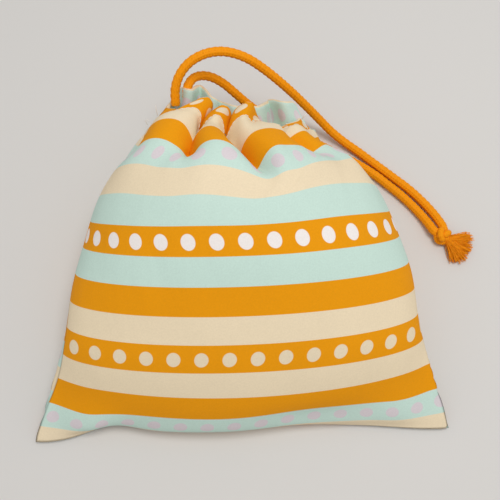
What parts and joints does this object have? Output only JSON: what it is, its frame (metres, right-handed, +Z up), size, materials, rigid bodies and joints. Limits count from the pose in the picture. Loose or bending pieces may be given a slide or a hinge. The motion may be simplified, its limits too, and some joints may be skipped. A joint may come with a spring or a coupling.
{
  "type": "drawstring pouch",
  "caption": "Small stuffed cotton pouch, drawn shut at a gathered mouth by a knotted cord, lying flat on its back.",
  "frame": {"origin": "on the surface it lies on, under the middle of the flat underside", "axes": "+Z up from the surface, +Y from the bottom fold towards the drawn mouth, +X to the right seen from the bottom fold"},
  "size_m": [0.2278, 0.1904, 0.0807],
  "materials": {
    "cotton_cloth": "plain woven printed cotton",
    "drawcord": "soft braided cord",
    "frayed_ends": "loose yarn"
  },
  "bodies": {
    "root": {"pouch_body": "cotton_cloth", "cord_strand_over": "drawcord", "cord_strand_behind": "drawcord", "knot": "drawcord", "tassel": "frayed_ends"}
  },
  "joints": []
}
